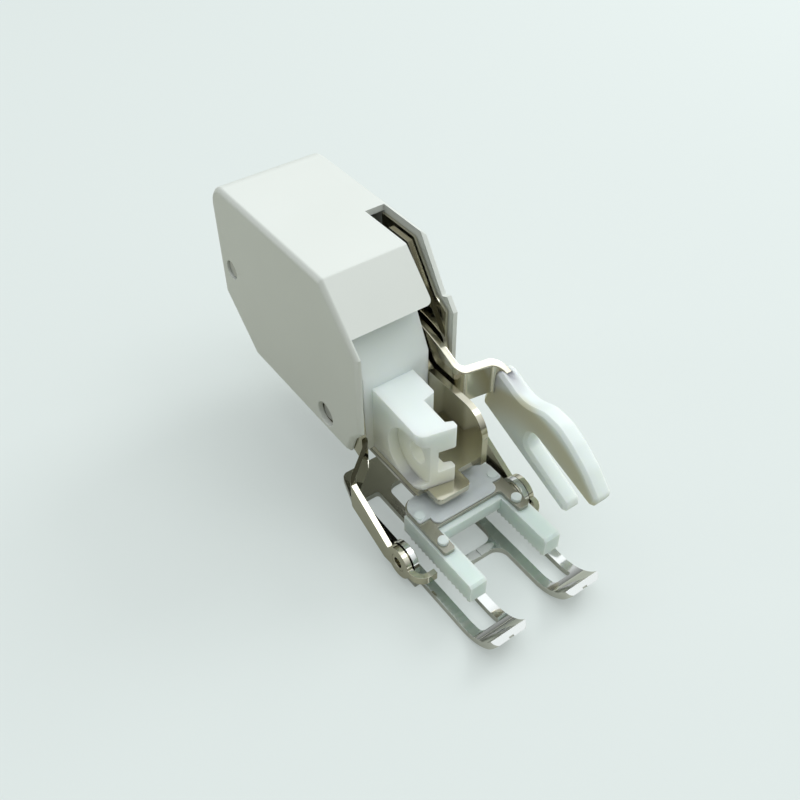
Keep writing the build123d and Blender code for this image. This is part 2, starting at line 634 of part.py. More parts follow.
# Drive fork: nylon, moulded round the lever's end, open to the front for the clamp screw
def make_fork():
    root = JOGGLE_Y - FORK_ROOT
    top = LEVER_PIN_Z - FORK_DROP
    upper = [(0.016, 0), (-0.251, 0.149), (-0.447, 0.062), (-0.588, 0.082), (-0.714, 0.169), (-0.863, 0.313)]
    mouth = [(-1, 0.508), (-0.961, 0.636), (-0.349, 0.349), (-0.314, 0.585), (-0.749, 0.856), (-0.796, 1)]
    heel = [(0.141, 0.497)]
    outline = [(root + FORK_LONG * y, top - FORK_TALL * z) for y, z in upper + mouth + heel]
    bends = [0.33, 1.67, 1.1, 1.4, 2.5, 2.5, 0.28, 0.25, 0.53, 0.53, 0.25, 0.25, 0.33]
    fork = side_plate(outline, [FORK_T * bend for bend in bends], FORK_X, FORK_X + FORK_T)
    fork = chamfer(side_rims(fork, FORK_X, FORK_X + FORK_T), FORK_EDGE)
    return fork - make_lever()


# Lever hub: a sleeve on the lever pin, which ties the lever to the cam
def make_hub():
    end = LEVER_OUT + LEVER_GAP / 2
    hub = rod_x(HUB_R, HUB_LEFT, end, LEVER_PIN_Y, LEVER_PIN_Z)
    return hub - rod_x(LEVER_PIN_R + RUN_FIT, HUB_LEFT - CUT, end + CUT, LEVER_PIN_Y, LEVER_PIN_Z)


# Lever pin: headed, across the cover and the bracket's left plate
def make_lever_pin():
    head_end = LEVER_GAP - COVER_HALF
    pin = rod_x(LEVER_PIN_R, head_end, COVER_HALF - PASS_GAP, LEVER_PIN_Y, LEVER_PIN_Z)
    return pin + rod_x(PIN_WINDOW - PASS_GAP, head_end, PLATE_LEFT_OUT, LEVER_PIN_Y, LEVER_PIN_Z)


# Lift cam: a lobe on the hub, which holds the rocker's rear arm down at rest
def make_cam():
    angle = math.radians(CAM_LEAD)
    lobe_y = LEVER_PIN_Y - CAM_THROW * math.sin(angle)
    lobe_z = LEVER_PIN_Z - CAM_THROW * math.cos(angle)
    lobe = rod_x(CAM_R, CAM_LEFT, CAM_RIGHT, lobe_y, lobe_z)
    ring = rod_x(HUB_R + CAM_RING, CAM_LEFT, CAM_RIGHT, LEVER_PIN_Y, LEVER_PIN_Z)
    return lobe + ring - rod_x(HUB_R, CAM_LEFT - CUT, CAM_RIGHT + CUT, LEVER_PIN_Y, LEVER_PIN_Z)


# Lift rocker: nylon arm on its pin, from the cam to the guide pins of the feed
def make_rocker():
    top = CAM_LOW_Z - CAM_GAP
    guide_low = GUIDE_Z - GUIDE_R - GUIDE_WALL
    front = GUIDE_FRONT_Y - GUIDE_LEAD
    boss_y = ROCKER_BOSS * 1.17
    outline = [
        (front, guide_low),
        (front, GUIDE_Z + GUIDE_R + GUIDE_WALL / 2),
        ((GUIDE_FRONT_Y + GUIDE_REAR_Y) / 2, GUIDE_Z + GUIDE_R + GUIDE_WALL),
        (ROCKER_PIN_Y - boss_y, ROCKER_PIN_Z + ROCKER_BOSS),
        (ROCKER_PIN_Y + boss_y, ROCKER_PIN_Z + ROCKER_BOSS),
        (ROCKER_REAR - 2 * ROCKER_TAIL, top),
        (ROCKER_REAR, top),
        (ROCKER_REAR, top - ROCKER_TAIL),
        (ROCKER_REAR - ROCKER_TAIL * 1.5, top - ROCKER_TAIL * 1.2),
        (ROCKER_PIN_Y + boss_y, ROCKER_PIN_Z - ROCKER_BOSS * 0.8),
        (GUIDE_REAR_Y + ROCKER_BOSS, guide_low),
    ]
    arm = side_plate(outline, 0, ROCKER_LEFT, ROCKER_RIGHT)
    across = (ROCKER_LEFT - CUT, ROCKER_RIGHT + CUT)
    bore = rod_x(ROCKER_PIN_R + RUN_FIT, *across, ROCKER_PIN_Y, ROCKER_PIN_Z)
    return arm - bore - make_guide_pins()


# Rocker pin: a plain pin between the bracket's plates
def make_rocker_pin():
    return rod_x(ROCKER_PIN_R, PLATE_LEFT_OUT, PLATE_RIGHT_OUT, ROCKER_PIN_Y, ROCKER_PIN_Z)


# Guide pins: pressed in the rocker, they run in the slots of the feed plate's cheeks
def make_guide_pins():
    reach = (TONGUE_LEFT - GUIDE_END, TONGUE_RIGHT + GUIDE_END)
    front = rod_x(GUIDE_R, *reach, GUIDE_FRONT_Y, GUIDE_Z)
    return front + rod_x(GUIDE_R, *reach, GUIDE_REAR_Y, GUIDE_Z)


# Feed plate: sheet with two front ears and slotted cheeks behind
def make_feed_plate():
    half = [
        (0, FEED_FRONT),
        (FEED_EAR_IN, FEED_FRONT),
        (FEED_EAR_IN, FEED_EAR_FRONT),
        (FEED_EAR_OUT, FEED_EAR_FRONT),
        (FEED_EAR_OUT, FEED_WIDE_REAR),
        (0, FEED_WIDE_REAR),
    ]
    corners = [0, 0.75, 0.65, 0.65, 3, 0]
    front = both_sides(flat_plate(half, [FEED_T * corner for corner in corners], FEED_Z, FEED_TOP))
    tongue = block(TONGUE_LEFT, TONGUE_RIGHT, FEED_WIDE_REAR - FEED_T, CHEEK_REAR, FEED_Z, FEED_TOP)
    cheek = block(TONGUE_LEFT, TONGUE_RIGHT, CHEEK_FRONT, CHEEK_REAR, FEED_Z, CHEEK_TOP)
    inside = (TONGUE_LEFT + FEED_T, TONGUE_RIGHT - FEED_T)
    cheek = cheek - block(*inside, CHEEK_FRONT - CUT, CHEEK_REAR + CUT, FEED_TOP, CHEEK_TOP + CUT)
    horn_top = FEED_SPRING_Z + FEED_SPRING_R + COIL_WIRE
    horn_low = FEED_SPRING_Z - FEED_SPRING_R - COIL_WIRE
    horn_rear = HORN_FRONT + HORN_W
    horn = block(TONGUE_RIGHT - FEED_T, TONGUE_RIGHT, HORN_FRONT, horn_rear, FEED_TOP, horn_top)
    tab_x = FEED_SPRING_X - FEED_SPRING_R
    tab = block(tab_x, TONGUE_RIGHT, horn_rear - FEED_T, horn_rear, horn_low, horn_top)
    tab = tab - rod_y(COIL_WIRE, HORN_FRONT, horn_rear + CUT, FEED_SPRING_X, FEED_SPRING_Z)
    plate = front + tongue + cheek + horn + tab
    across = (TONGUE_LEFT - CUT, TONGUE_RIGHT + CUT)
    run = GUIDE_R + RUN_FIT
    for guide_y in (GUIDE_FRONT_Y, GUIDE_REAR_Y):
        slot_y = (guide_y - FEED_TRAVEL - run, guide_y + run)
        plate = plate - block(*across, *slot_y, GUIDE_Z - run, GUIDE_Z + run)
    return plate - make_stakes(FEED_TOP)


def make_stakes(top):
    """The four stakes that join the feed dog to the feed plate."""
    pegs = rod_z(STAKE_R, BRIDGE_Z, top, TOE_X, STAKE_FRONT_Y)
    pegs = pegs + rod_z(STAKE_R, BRIDGE_Z, top, TOE_X, STAKE_REAR_Y)
    return both_sides(pegs)


# Feed dog: nylon moulded round the plate, two toothed bars, a bridge, four stakes and a top pad
def make_feed_dog():
    teeth = int((DOG_REAR - DOG_FRONT - TOOTH_PITCH) / TOOTH_PITCH)
    root_z = DOG_TIP_Z + TOOTH_DEPTH
    outline = [(DOG_REAR, root_z), (DOG_REAR, FEED_Z), (DOG_FRONT + TOOTH_DEPTH, FEED_Z)]
    outline.append((DOG_FRONT, FEED_Z - TOOTH_DEPTH))
    for i in range(teeth):
        tooth_y = DOG_FRONT + i * TOOTH_PITCH
        outline.append((tooth_y, root_z))
        outline.append((tooth_y + TOOTH_PITCH * 0.75, DOG_TIP_Z))
    outline.append((DOG_FRONT + teeth * TOOTH_PITCH, root_z))
    bar = side_plate(outline, 0, TOE_X - DOG_HALF, TOE_X + DOG_HALF)
    bridge = block(-TOE_X, TOE_X, BRIDGE_FRONT, BRIDGE_REAR, BRIDGE_Z, FEED_Z)
    step_y = STAKE_REAR_Y - STAKE_R - 2 * PAD_INSET
    half_pad = [
        (0, FEED_FRONT + PAD_INSET),
        (FEED_EAR_IN - PAD_INSET, FEED_FRONT + PAD_INSET),
        (FEED_EAR_IN - PAD_INSET, step_y),
        (FEED_EAR_OUT - PAD_INSET, step_y),
        (FEED_EAR_OUT - PAD_INSET, FEED_WIDE_REAR - PAD_INSET),
        (0, FEED_WIDE_REAR - PAD_INSET),
    ]
    pad_radii = [0, PAD_CORNER, 0, PAD_T, 2 * PAD_CORNER, 0]
    pad = both_sides(flat_plate(half_pad, pad_radii, FEED_TOP, FEED_TOP + PAD_T))
    return both_sides(bar) + bridge + make_stakes(FEED_TOP + STAKE_HEAD) + pad


def turn_points(radius, start, end, count):
    """Points on a circle, evenly spaced from a start angle to an end angle in degrees."""
    angles = [math.radians(start + (end - start) * i / count) for i in range(count + 1)]
    return [(radius * math.cos(angle), radius * math.sin(angle)) for angle in angles]


def bent_wire(points):
    """Spring wire bent along a run of points."""
    path = Polyline(*points)
    section = Plane(origin=path @ 0, z_dir=path % 0) * RegularPolygon(COIL_WIRE, WIRE_SIDES)
    return sweep(section, path=path, transition=Transition.RIGHT)


def torsion_spring(x_from, x_to, radius, turns, y, z):
    """A coil about X, with two straight legs that leave it along Y."""
    count = round(turns * COIL_STEPS)
    points = [(x_from, y - SPRING_LEG, z - radius)]
    for i, (across, up) in enumerate(turn_points(radius, -90, 360 * turns - 90, count)):
        points.append((x_from + (x_to - x_from) * i / count, y + across, z + up))
    end_z = points[-1][2]
    leg = math.copysign(SPRING_LEG, z - end_z)
    points.append((x_to, y + leg, end_z))
    return bent_wire(points)


# Feed spring: a tension coil from the anchor pin to the feed plate's horn
def make_feed_spring():
    hook_r = (ANCHOR_R + COIL_WIRE + RUN_FIT) / math.cos(math.pi / COIL_STEPS)
    coil_front = ANCHOR_Y + HOOK_LEAD
    coil_rear = HORN_FRONT - COIL_GAP
    count = COIL_TURNS * COIL_STEPS
    points = []
    for along, up in turn_points(hook_r, 360 - 360 / COIL_STEPS, 0, COIL_STEPS - 1):
        points.append((FEED_SPRING_X, ANCHOR_Y + along, FEED_SPRING_Z + up))
    points.append((FEED_SPRING_X, coil_front, FEED_SPRING_Z))
    for i, (across, up) in enumerate(turn_points(FEED_SPRING_R, 0, 360 * COIL_TURNS, count)):
        y = coil_front + (coil_rear - coil_front) * i / count
        points.append((FEED_SPRING_X + across, y, FEED_SPRING_Z + up))
    end_y = HORN_FRONT + HORN_W + COIL_WIRE + RUN_FIT
    points.append((FEED_SPRING_X, coil_rear, FEED_SPRING_Z))
    points.append((FEED_SPRING_X, end_y, FEED_SPRING_Z))
    points.append((FEED_SPRING_X - FEED_SPRING_R, end_y, FEED_SPRING_Z))
    return bent_wire(points)


# Spring anchor: a cross pin in the bracket's plates
def make_anchor():
    return rod_x(ANCHOR_R, PLATE_LEFT_OUT, PLATE_RIGHT_OUT, ANCHOR_Y, FEED_SPRING_Z)


# Yoke spring: a torsion coil on the yoke shaft, between the right plate and the right arm
def make_yoke_spring():
    room = COIL_WIRE + PASS_GAP
    radius = SHAFT_R + COIL_WIRE + COIL_GAP
    return torsion_spring(PLATE_RIGHT_OUT + room, CHEEK_IN - room, radius, 2, SHAFT_Y, SHAFT_Z)


# Lever spring: a torsion coil on the hub, between the cam and the right plate
def make_lever_spring():
    room = COIL_WIRE + PASS_GAP
    radius = HUB_R + COIL_WIRE + COIL_GAP
    return torsion_spring(CAM_RIGHT + room, PLATE_RIGHT_IN - room, radius, 2.5, LEVER_PIN_Y, LEVER_PIN_Z)


right_arm = make_right_arm()
right_rivet = make_right_rivet()
nodes = {
    "housing_cover": make_cover(),
    "cover_screw": make_cover_screw(),
    "frame_bracket": make_frame(),
    "block_screws": make_block_screws(),
    "shank_block": make_block(),
    "lever_pin": make_lever_pin(),
    "rocker_pin": make_rocker_pin(),
    "spring_anchor": make_anchor(),
    "left_arm": mirror(right_arm, about=Plane.YZ),
    "right_arm": right_arm,
    "yoke_shaft": make_yoke_shaft(),
    "left_pivot_rivet": mirror(right_rivet, about=Plane.YZ),
    "right_pivot_rivet": right_rivet,
    "yoke_spring": make_yoke_spring(),
    "sole": make_sole(),
    "fork_lever": make_lever(),
    "drive_fork": make_fork(),
    "lever_hub": make_hub(),
    "lift_cam": make_cam(),
    "lever_spring": make_lever_spring(),
    "lift_rocker": make_rocker(),
    "guide_pins": make_guide_pins(),
    "feed_plate": make_feed_plate(),
    "feed_dog": make_feed_dog(),
    "feed_spring": make_feed_spring(),
}

os.makedirs("parts", exist_ok=True)
for name, solid in nodes.items():
    export_step(solid, f"parts/{name}.step")
    print(f"{name:18s} solids {len(solid.solids())} volume {solid.volume:9.2f} valid {solid.is_valid}")
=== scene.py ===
import math

import bmesh
import bpy
import numpy as np
from mathutils import Matrix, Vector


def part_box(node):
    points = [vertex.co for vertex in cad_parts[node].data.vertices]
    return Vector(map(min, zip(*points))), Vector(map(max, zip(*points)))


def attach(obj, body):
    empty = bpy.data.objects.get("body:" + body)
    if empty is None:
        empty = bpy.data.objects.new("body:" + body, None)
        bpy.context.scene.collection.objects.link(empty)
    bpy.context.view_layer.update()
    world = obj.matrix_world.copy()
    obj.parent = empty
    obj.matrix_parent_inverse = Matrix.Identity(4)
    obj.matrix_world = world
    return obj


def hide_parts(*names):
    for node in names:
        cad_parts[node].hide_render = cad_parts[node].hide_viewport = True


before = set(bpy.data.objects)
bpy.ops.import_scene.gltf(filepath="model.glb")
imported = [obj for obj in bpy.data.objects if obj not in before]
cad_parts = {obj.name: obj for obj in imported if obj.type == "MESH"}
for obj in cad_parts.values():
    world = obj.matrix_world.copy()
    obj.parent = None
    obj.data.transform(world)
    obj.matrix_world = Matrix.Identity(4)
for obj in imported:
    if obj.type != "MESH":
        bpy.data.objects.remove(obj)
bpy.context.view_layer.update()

# Frame bracket: a channel folded from steel sheet, with a lip under the presser bar.
# It is stamped, folded and bright nickel plated, and the shafts of the foot sit in its walls.


def plug(target, value):
    """Links a Socket to this shader input, or sets the input to a plain value."""
    if isinstance(value, Socket):
        value.tree.links.new(value.out, target)
    else:
        target.default_value = value


class Socket:
    """A shader socket: arithmetic on it adds Math nodes, and make() adds any other node."""

    def __init__(self, tree, out):
        self.tree = tree
        self.out = out

    def make(self, kind, settings, inputs, output=0):
        """A node of this kind, with its settings made first and then its sockets set or linked."""
        node = self.tree.nodes.new(kind)
        for name, value in settings.items():
            setattr(node, name, value)
        for name, value in inputs.items():
            plug(node.inputs[name], value)
        return Socket(self.tree, node.outputs[output])

    def maths(self, operation, first, second):
        """A Math node: this operation on two numbers."""
        return self.make("ShaderNodeMath", {"operation": operation}, {0: first, 1: second})

    def __add__(self, other):
        return self.maths("ADD", self, other)

    def __radd__(self, other):
        return self.maths("ADD", other, self)

    def __mul__(self, other):
        return self.maths("MULTIPLY", self, other)

    def __rmul__(self, other):
        return self.maths("MULTIPLY", other, self)

    def __pow__(self, other):
        return self.maths("POWER", self, other)

    def __rpow__(self, other):
        return self.maths("POWER", other, self)

    def vector(self, operation, other, output="Vector"):
        """A Vector Math node: this operation on this vector and another."""
        return self.make("ShaderNodeVectorMath", {"operation": operation}, {0: self, 1: other}, output)

    def length(self):
        """The length of this vector."""
        return self.make("ShaderNodeVectorMath", {"operation": "LENGTH"}, {0: self}, "Value")

    def axis(self, name):
        """One coordinate of this vector: X, Y or Z."""
        return self.make("ShaderNodeSeparateXYZ", {}, {"Vector": self}, name)

    def noise(self, scale, detail, stretch=(1.0, 1.0, 1.0)):
        """Noise over the piece's own coordinates, with blotches 1/scale metres wide."""
        spread = self.make("ShaderNodeMapping", {}, {"Vector": self, "Scale": stretch})
        return self.make("ShaderNodeTexNoise", {}, {"Vector": spread, "Scale": scale, "Detail": detail})

    def mix(self, low, high):
        """A colour between low and high by this factor; each end is a Socket or three numbers."""
        first, last = (end if isinstance(end, Socket) else (*end, 1.0) for end in (low, high))
        return self.make("ShaderNodeMix", {"data_type": "RGBA"}, {0: self, 6: first, 7: last}, 2)

    def between(self, low, high):
        """This factor spread over the range from low to high."""
        return self.make("ShaderNodeMapRange", {}, {"Value": self, "To Min": low, "To Max": high})

    def rise(self, start, end, curve="LINEAR"):
        """A factor that goes from 0 where this value is start to 1 where it is end."""
        reach = {"Value": self, "From Min": start, "From Max": end}
        return self.make("ShaderNodeMapRange", {"interpolation_type": curve}, reach)

    def bump(self, strength, distance):
        """The surface normal, bent as if this height were raised by the distance in metres."""
        raised = {"Strength": strength, "Distance": distance, "Height": self}
        return self.make("ShaderNodeBump", {}, raised)


def start_finish(name):
    """A new material, its principled shader and its place socket (Object coordinates)."""
    material = bpy.data.materials.new(name)
    material.use_nodes = True
    tree = material.node_tree
    shader = tree.nodes["Principled BSDF"]
    coordinates = tree.nodes.new("ShaderNodeTexCoord")
    return material, shader, Socket(tree, coordinates.outputs["Object"])


def feed(shader, **sockets):
    """Links or sets the named inputs of a shader; an underscore stands for a space."""
    for name, value in sockets.items():
        plug(shader.inputs[name.replace("_", " ")], value)


smoothest = 0.75
roughest = 1.35


def plated(name, low, high, polish, grain, frost=None):
    """Bright plated sheet: cloudy colour between two tones, polish with fine drawn grain.

    The roughness goes from the smoothest to the roughest share of polish, half by the clouds and half
    by the grain, and frost(place) is added to it."""
    material, shader, place = start_finish(name)
    cloud = place.noise(scale=160.0, detail=3.0)
    drawn = place.noise(scale=900.0, detail=4.0, stretch=(1.0, 0.12, 1.0))
    roughness = (drawn * 0.5 + cloud * 0.5).between(polish * smoothest, polish * roughest)
    if frost:
        roughness = roughness + frost(place)
    feed(
        shader,
        Base_Color=cloud.mix(low, high),
        Metallic=1.0,
        Roughness=roughness,
        Normal=drawn.bump(strength=grain, distance=0.00004),
    )
    return material


merge_reach = 1e-5
flat_angle = math.radians(1.0)
sharp_angle = math.radians(32.0)
smooth_angle = math.radians(40.0)
edge_steps = 2
never_zero = 1e-20


def settle_normals(mesh):
    """Corner normals: the area-weighted mean of the faces round a corner, within the smooth angle."""
    vertex = np.empty(len(mesh.loops), dtype=np.int32)
    mesh.loops.foreach_get("vertex_index", vertex)
    count = np.empty(len(mesh.polygons), dtype=np.int32)
    mesh.polygons.foreach_get("loop_total", count)
    normal = np.empty(3 * len(count), dtype=np.float32)
    mesh.polygons.foreach_get("normal", normal)
    area = np.empty(len(count), dtype=np.float32)
    mesh.polygons.foreach_get("area", area)
    order = np.argsort(vertex, kind="stable")
    face = np.repeat(np.arange(len(count)), count)[order]
    corner = vertex[order]
    facing = normal.reshape(-1, 3)[face]
    pull = facing * area[face, None]
    mean = pull.copy()
    step = 1
    while np.any(corner[step:] == corner[:-step]):
        pair = np.flatnonzero(corner[step:] == corner[:-step])
        pair = pair[np.einsum("ij,ij->i", facing[pair], facing[pair + step]) > math.cos(smooth_angle)]
        mean[pair] += pull[pair + step]
        mean[pair + step] += pull[pair]
        step += 1
    settled = np.empty_like(mean)
    settled[order] = mean / np.maximum(np.linalg.norm(mean, axis=1), never_zero)[:, None]
    mesh.normals_split_custom_set(settled.tolist())


def set_up(name, data):
    """A new object at the origin that holds this data, put into the scene."""
    thing = bpy.data.objects.new(name, data)
    bpy.context.collection.objects.link(thing)
    return thing


def dress(node, body, material, edge, rounds=()):
    """The node's own solid, merged, with its sharp edges rounded to the width edge.

    Each of the rounds, made first, is a width, a number of steps and a test of an edge's end point.
    The last rounding takes every sharp edge, and is held to what fits."""
    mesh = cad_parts[node].data.copy()
    mesh.materials.clear()
    mesh.materials.append(material)
    shape = bmesh.new()
    shape.from_mesh(mesh)
    bmesh.ops.remove_doubles(shape, verts=shape.verts, dist=merge_reach)
    bmesh.ops.dissolve_limit(shape, angle_limit=flat_angle, verts=shape.verts, edges=shape.edges)
    for width, steps, belongs in (*rounds, (edge, edge_steps, None)):
        lines = [line for line in shape.edges if line.calc_face_angle(0.0) > sharp_angle]
        if belongs:
            lines = [line for line in lines if all(belongs(end.co) for end in line.verts)]
        bmesh.ops.bevel(
            shape,
            geom=lines,
            offset=width,
            offset_type="OFFSET",
            segments=steps,
            profile=0.5,
            affect="EDGES",
            clamp_overlap=not belongs,
        )
    shape.to_mesh(mesh)
    shape.free()
    mesh.polygons.foreach_set("use_smooth", np.ones(len(mesh.polygons), dtype=bool))
    mesh.polygons.foreach_set("material_index", np.zeros(len(mesh.polygons), dtype=np.int32))
    settle_normals(mesh)
    piece = set_up(f"{node}_finished", mesh)
    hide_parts(node)
    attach(piece, body)


nickel = plated("bright_nickel", low=(0.56, 0.53, 0.42), high=(0.64, 0.61, 0.51), polish=0.14, grain=0.07)
dress("frame_bracket", "frame", nickel, edge=0.00016)

# Shank block: one milky nylon moulding, notched for the presser bar and slotted for its screw.
# Two screws from below hold it on the bracket's floor.


def nylon(name, low, high, depth, painted_shade=None, shade_tone=None):
    """Milky nylon: faint clouds in the colour, a soft moulded skin and light carried inside.

    Where the given mask is 1, the colour turns to the given tone: a painted shade tint."""
    material, shader, place = start_finish(name)
    cloud = place.noise(scale=90.0, detail=2.0)
    skin = place.noise(scale=2600.0, detail=3.0)
    tone = cloud.mix(low, high)
    if painted_shade:
        tone = painted_shade(place).mix(tone, shade_tone)
    feed(
        shader,
        Base_Color=tone,
        Roughness=skin.between(0.36, 0.5),
        Subsurface_Weight=1.0,
        Subsurface_Radius=(1.0, 1.0, 0.9),
        Subsurface_Scale=depth,
        Normal=skin.bump(strength=0.12, distance=0.00003),
    )
    return material


shade_full_z = 0.014
shade_clear_z = 0.0265


def block_painted_shade(place):
    """Painted shade tint: 1 at the block's foot, falling smoothly to 0 near its top, by height."""
    return place.axis("Z").rise(shade_clear_z, shade_full_z, "SMOOTHSTEP")


milky_low = (0.80, 0.855, 0.84)
milky_high = (0.86, 0.915, 0.90)
# Painted shade tint: this warmer, yellower tone is painted towards the block's foot, below the part lit
# from above.
block_shade_tone = (0.87, 0.875, 0.77)
block_nylon = nylon("block_nylon", milky_low, milky_high, depth=0.002, painted_shade=block_painted_shade, shade_tone=block_shade_tone)
dress("shank_block", "frame", block_nylon, edge=0.0003)

# Screws, pins, hub and shaft: small parts turned from plain steel bar.
# Most sit in the bracket. The guide pins sit in the rocker, the hub turns on the lever pin, and the
# arms are pressed on the shaft.

light_ring = 1.15
rough_ring = 1.5


def turned(name, tone, polish):
    """Turned or drawn steel: fine rings of tool marks across the bar in colour and polish."""
    material, shader, place = start_finish(name)
    marks = place.noise(scale=1800.0, detail=2.0, stretch=(1.0, 0.2, 0.2))
    light = tuple(min(1.0, value * light_ring) for value in tone)
    feed(
        shader,
        Base_Color=marks.mix(tone, light),
        Metallic=1.0,
        Roughness=marks.between(polish, polish * rough_ring),
    )
    return material


steel = turned("turned_steel", tone=(0.46, 0.46, 0.45), polish=0.24)
for node, body in (
    ("cover_screw", "frame"),
    ("block_screws", "frame"),
    ("lever_pin", "frame"),
    ("rocker_pin", "frame"),
    ("spring_anchor", "frame"),
    ("yoke_shaft", "yoke"),
    ("lever_hub", "lever"),
    ("guide_pins", "rocker"),
):
    dress(node, body, steel, edge=0.00012)

# Springs: drawn steel wire, wound cold and left bare.
# Two torsion springs sit round their shafts, and the tension spring hooks on to its anchor pin.

wire = turned("spring_wire", tone=(0.38, 0.38, 0.37), polish=0.3)
for node in ("yoke_spring", "lever_spring", "feed_spring"):
    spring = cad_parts[node]
    spring.data.materials.clear()
    spring.data.materials.append(wire)

# Arms: a left and a right one, folded from steel sheet and nickel plated.
# They are pressed on the yoke shaft, and hollow rivets join them to the sole's lugs.

arm_plate = plated("arm_nickel", low=(0.60, 0.57, 0.46), high=(0.68, 0.65, 0.55), polish=0.1, grain=0.05)
for node in ("left_arm", "right_arm"):
    dress(node, "yoke", arm_plate, edge=0.00018)
for node in ("left_pivot_rivet", "right_pivot_rivet"):
    dress(node, "yoke", arm_plate, edge=0.00012)

# Sole: one steel sheet, slotted for the feed dog, with folded lugs and two toes curled up.
# It is polished and chrome plated, with a frosted mark at the middle of its crossbar, the origin.

mark_half = (0.0048, 0.0012, 0.0022)
mark_full = 0.8
mark_frost = 0.45


def frosted_mark(place):
    """Roughness added in an ellipsoid at the origin: none at its rim, all inside its full share."""
    spread = place.vector("MULTIPLY", tuple(1 / half for half in mark_half))
    return spread.length().rise(1.0, mark_full) * mark_frost


chrome_low = (0.74, 0.745, 0.735)
chrome_high = (0.80, 0.805, 0.795)
chrome = plated("polished_chrome", chrome_low, chrome_high, polish=0.07, grain=0.03, frost=frosted_mark)
dress("sole", "tilting_sole", chrome, edge=0.0002)

# Feed plate and feed dog: a stamped steel plate with a satin finish, and a toothed nylon moulding.
# The dog is staked to the plate, which slides on the rocker's guide pins.

satin = plated("satin_nickel", low=(0.34, 0.33, 0.28), high=(0.42, 0.41, 0.355), polish=0.24, grain=0.1)
dress("feed_plate", "carriage", satin, edge=0.00012)
dog_nylon = nylon("feed_nylon", low=(0.67, 0.765, 0.73), high=(0.73, 0.825, 0.79), depth=0.002)
dress("feed_dog", "carriage", dog_nylon, edge=0.00012)

# Lift rocker and lift cam: milky nylon mouldings inside the channel.
# The rocker turns on its pin, and the cam, which is fixed on the lever's hub, moves it.

milky = nylon("milky_nylon", milky_low, milky_high, depth=0.002)
dress("lift_rocker", "rocker", milky, edge=0.0002)
dress("lift_cam", "lever", milky, edge=0.00015)

# Fork lever and drive fork: a nickel plated steel strip, bent to a joggle and fixed on the hub.
# The milky nylon fork is moulded on its front end, and takes the needle clamp's screw.

dress("fork_lever", "lever", nickel, edge=0.00018)

back_centre = (0.0, 0.006, 0.002)
side_view = (0.0, 1.0, 1.0)
band_inside = (0.0125, 0.0195)
band_outside = (0.0222, 0.0202)
band_depth = (0.0158, 0.0146)


def fork_painted_shade(place):
    """A band of painted shade on the left face along the fork's curved back.

    Seen from the side, it rises with the distance from the centre of the back's curve and falls
    again before the rim. It also falls with x, from the left face into the fork."""
    reach = place.vector("SUBTRACT", back_centre).vector("MULTIPLY", side_view).length()
    ring = reach.rise(*band_inside, "SMOOTHSTEP") * reach.rise(*band_outside, "SMOOTHSTEP")
    return ring * place.axis("X").rise(*band_depth, "SMOOTHSTEP")


# Painted shade: this darker olive tone is painted in the band on the fork's left face.
fork_shade_tone = (0.66, 0.64, 0.49)
fork_nylon = nylon("fork_nylon", milky_low, milky_high, depth=0.0016, painted_shade=fork_painted_shade, shade_tone=fork_shade_tone)
dress("drive_fork", "lever", fork_nylon, edge=0.0002)

# Housing cover: an ivory plastic shell with two side walls, a front panel and the lever's slot.
# It is moulded in one piece and held by a screw through its back into the bracket's web.

ivory, shader, place = start_finish("ivory_plastic")
cloud = place.noise(scale=60.0, detail=2.0)
spark = place.noise(scale=3200.0, detail=2.0)
feed(
    shader,
    Base_Color=cloud.mix((0.75, 0.77, 0.73), (0.79, 0.81, 0.775)),
    Roughness=spark.between(0.3, 0.4),
    Normal=spark.bump(strength=0.07, distance=0.00003),
)
cover_half, _, cover_top = (float(value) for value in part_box("housing_cover")[1])
rim_depth = 0.00072
crest_depth = 0.0001
slant_top = 0.0289
corner_x = (0.0055, 0.0062)
corner_z = (0.0372, 0.0389)


def at_corner(point):
    """The lower corner of the front panel, beside the lever's slot."""
    return corner_x[0] < point.x < corner_x[1] and corner_z[0] < point.z < corner_z[1]


def at_outside(point):
    """The chamfered rims of the two side walls, and the crest between the front panel and the top."""
    on_crest = point.z > cover_top - crest_depth and point.y < slant_top
    return on_crest or abs(point.x) >= cover_half - rim_depth


corner_round = 0.0011
corner_steps = 4
rim_round = 0.00027
cover_rounds = ((corner_round, corner_steps, at_corner), (rim_round, edge_steps, at_outside))
dress("housing_cover", "frame", ivory, edge=0.0002, rounds=cover_rounds)

# Side guard: a thin nickel plate that lines the cover's right wall behind the lever's slot.
# It keeps the lever off the plastic, and its edge follows the wall's edge about a millimetre in.


def flat_sided(name, points, faces, material):
    """A new piece with flat faces, from its points and the point numbers round each face."""
    mesh = bpy.data.meshes.new(name)
    mesh.from_pydata(points.tolist(), [], faces)
    mesh.materials.append(material)
    return set_up(name, mesh)


guard_inset = 0.0012
guard_sheet = 0.00045
guard_out = cover_half - guard_inset
guard_in = guard_out - guard_sheet
guard_y = [0.0222, 0.0222, 0.0252, 0.0312, 0.0402, 0.0402]
guard_z = [0.0235, 0.0350, 0.0367, 0.0449, 0.0449, 0.0235]
guard_count = len(guard_y)

# The outline in y and z, carried from the plate's inner face to its outer one along x.
guard_x = np.repeat([guard_in, guard_out], guard_count)
guard_points = np.column_stack([guard_x, np.tile(guard_y, 2), np.tile(guard_z, 2)])
inner = np.arange(guard_count)
outer = inner + guard_count
after = np.roll(inner, -1)
guard_sides = np.column_stack([after, inner, outer, after + guard_count])
guard_faces = [*guard_sides.tolist(), inner.tolist(), outer[::-1].tolist()]
guard = flat_sided("side_guard", guard_points, guard_faces, nickel)
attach(guard, "frame")

# Table: a plain pale top that reaches to the horizon and takes the foot's shadow.
# The camera sees it in a paler tone than the one that lights the foot from below.

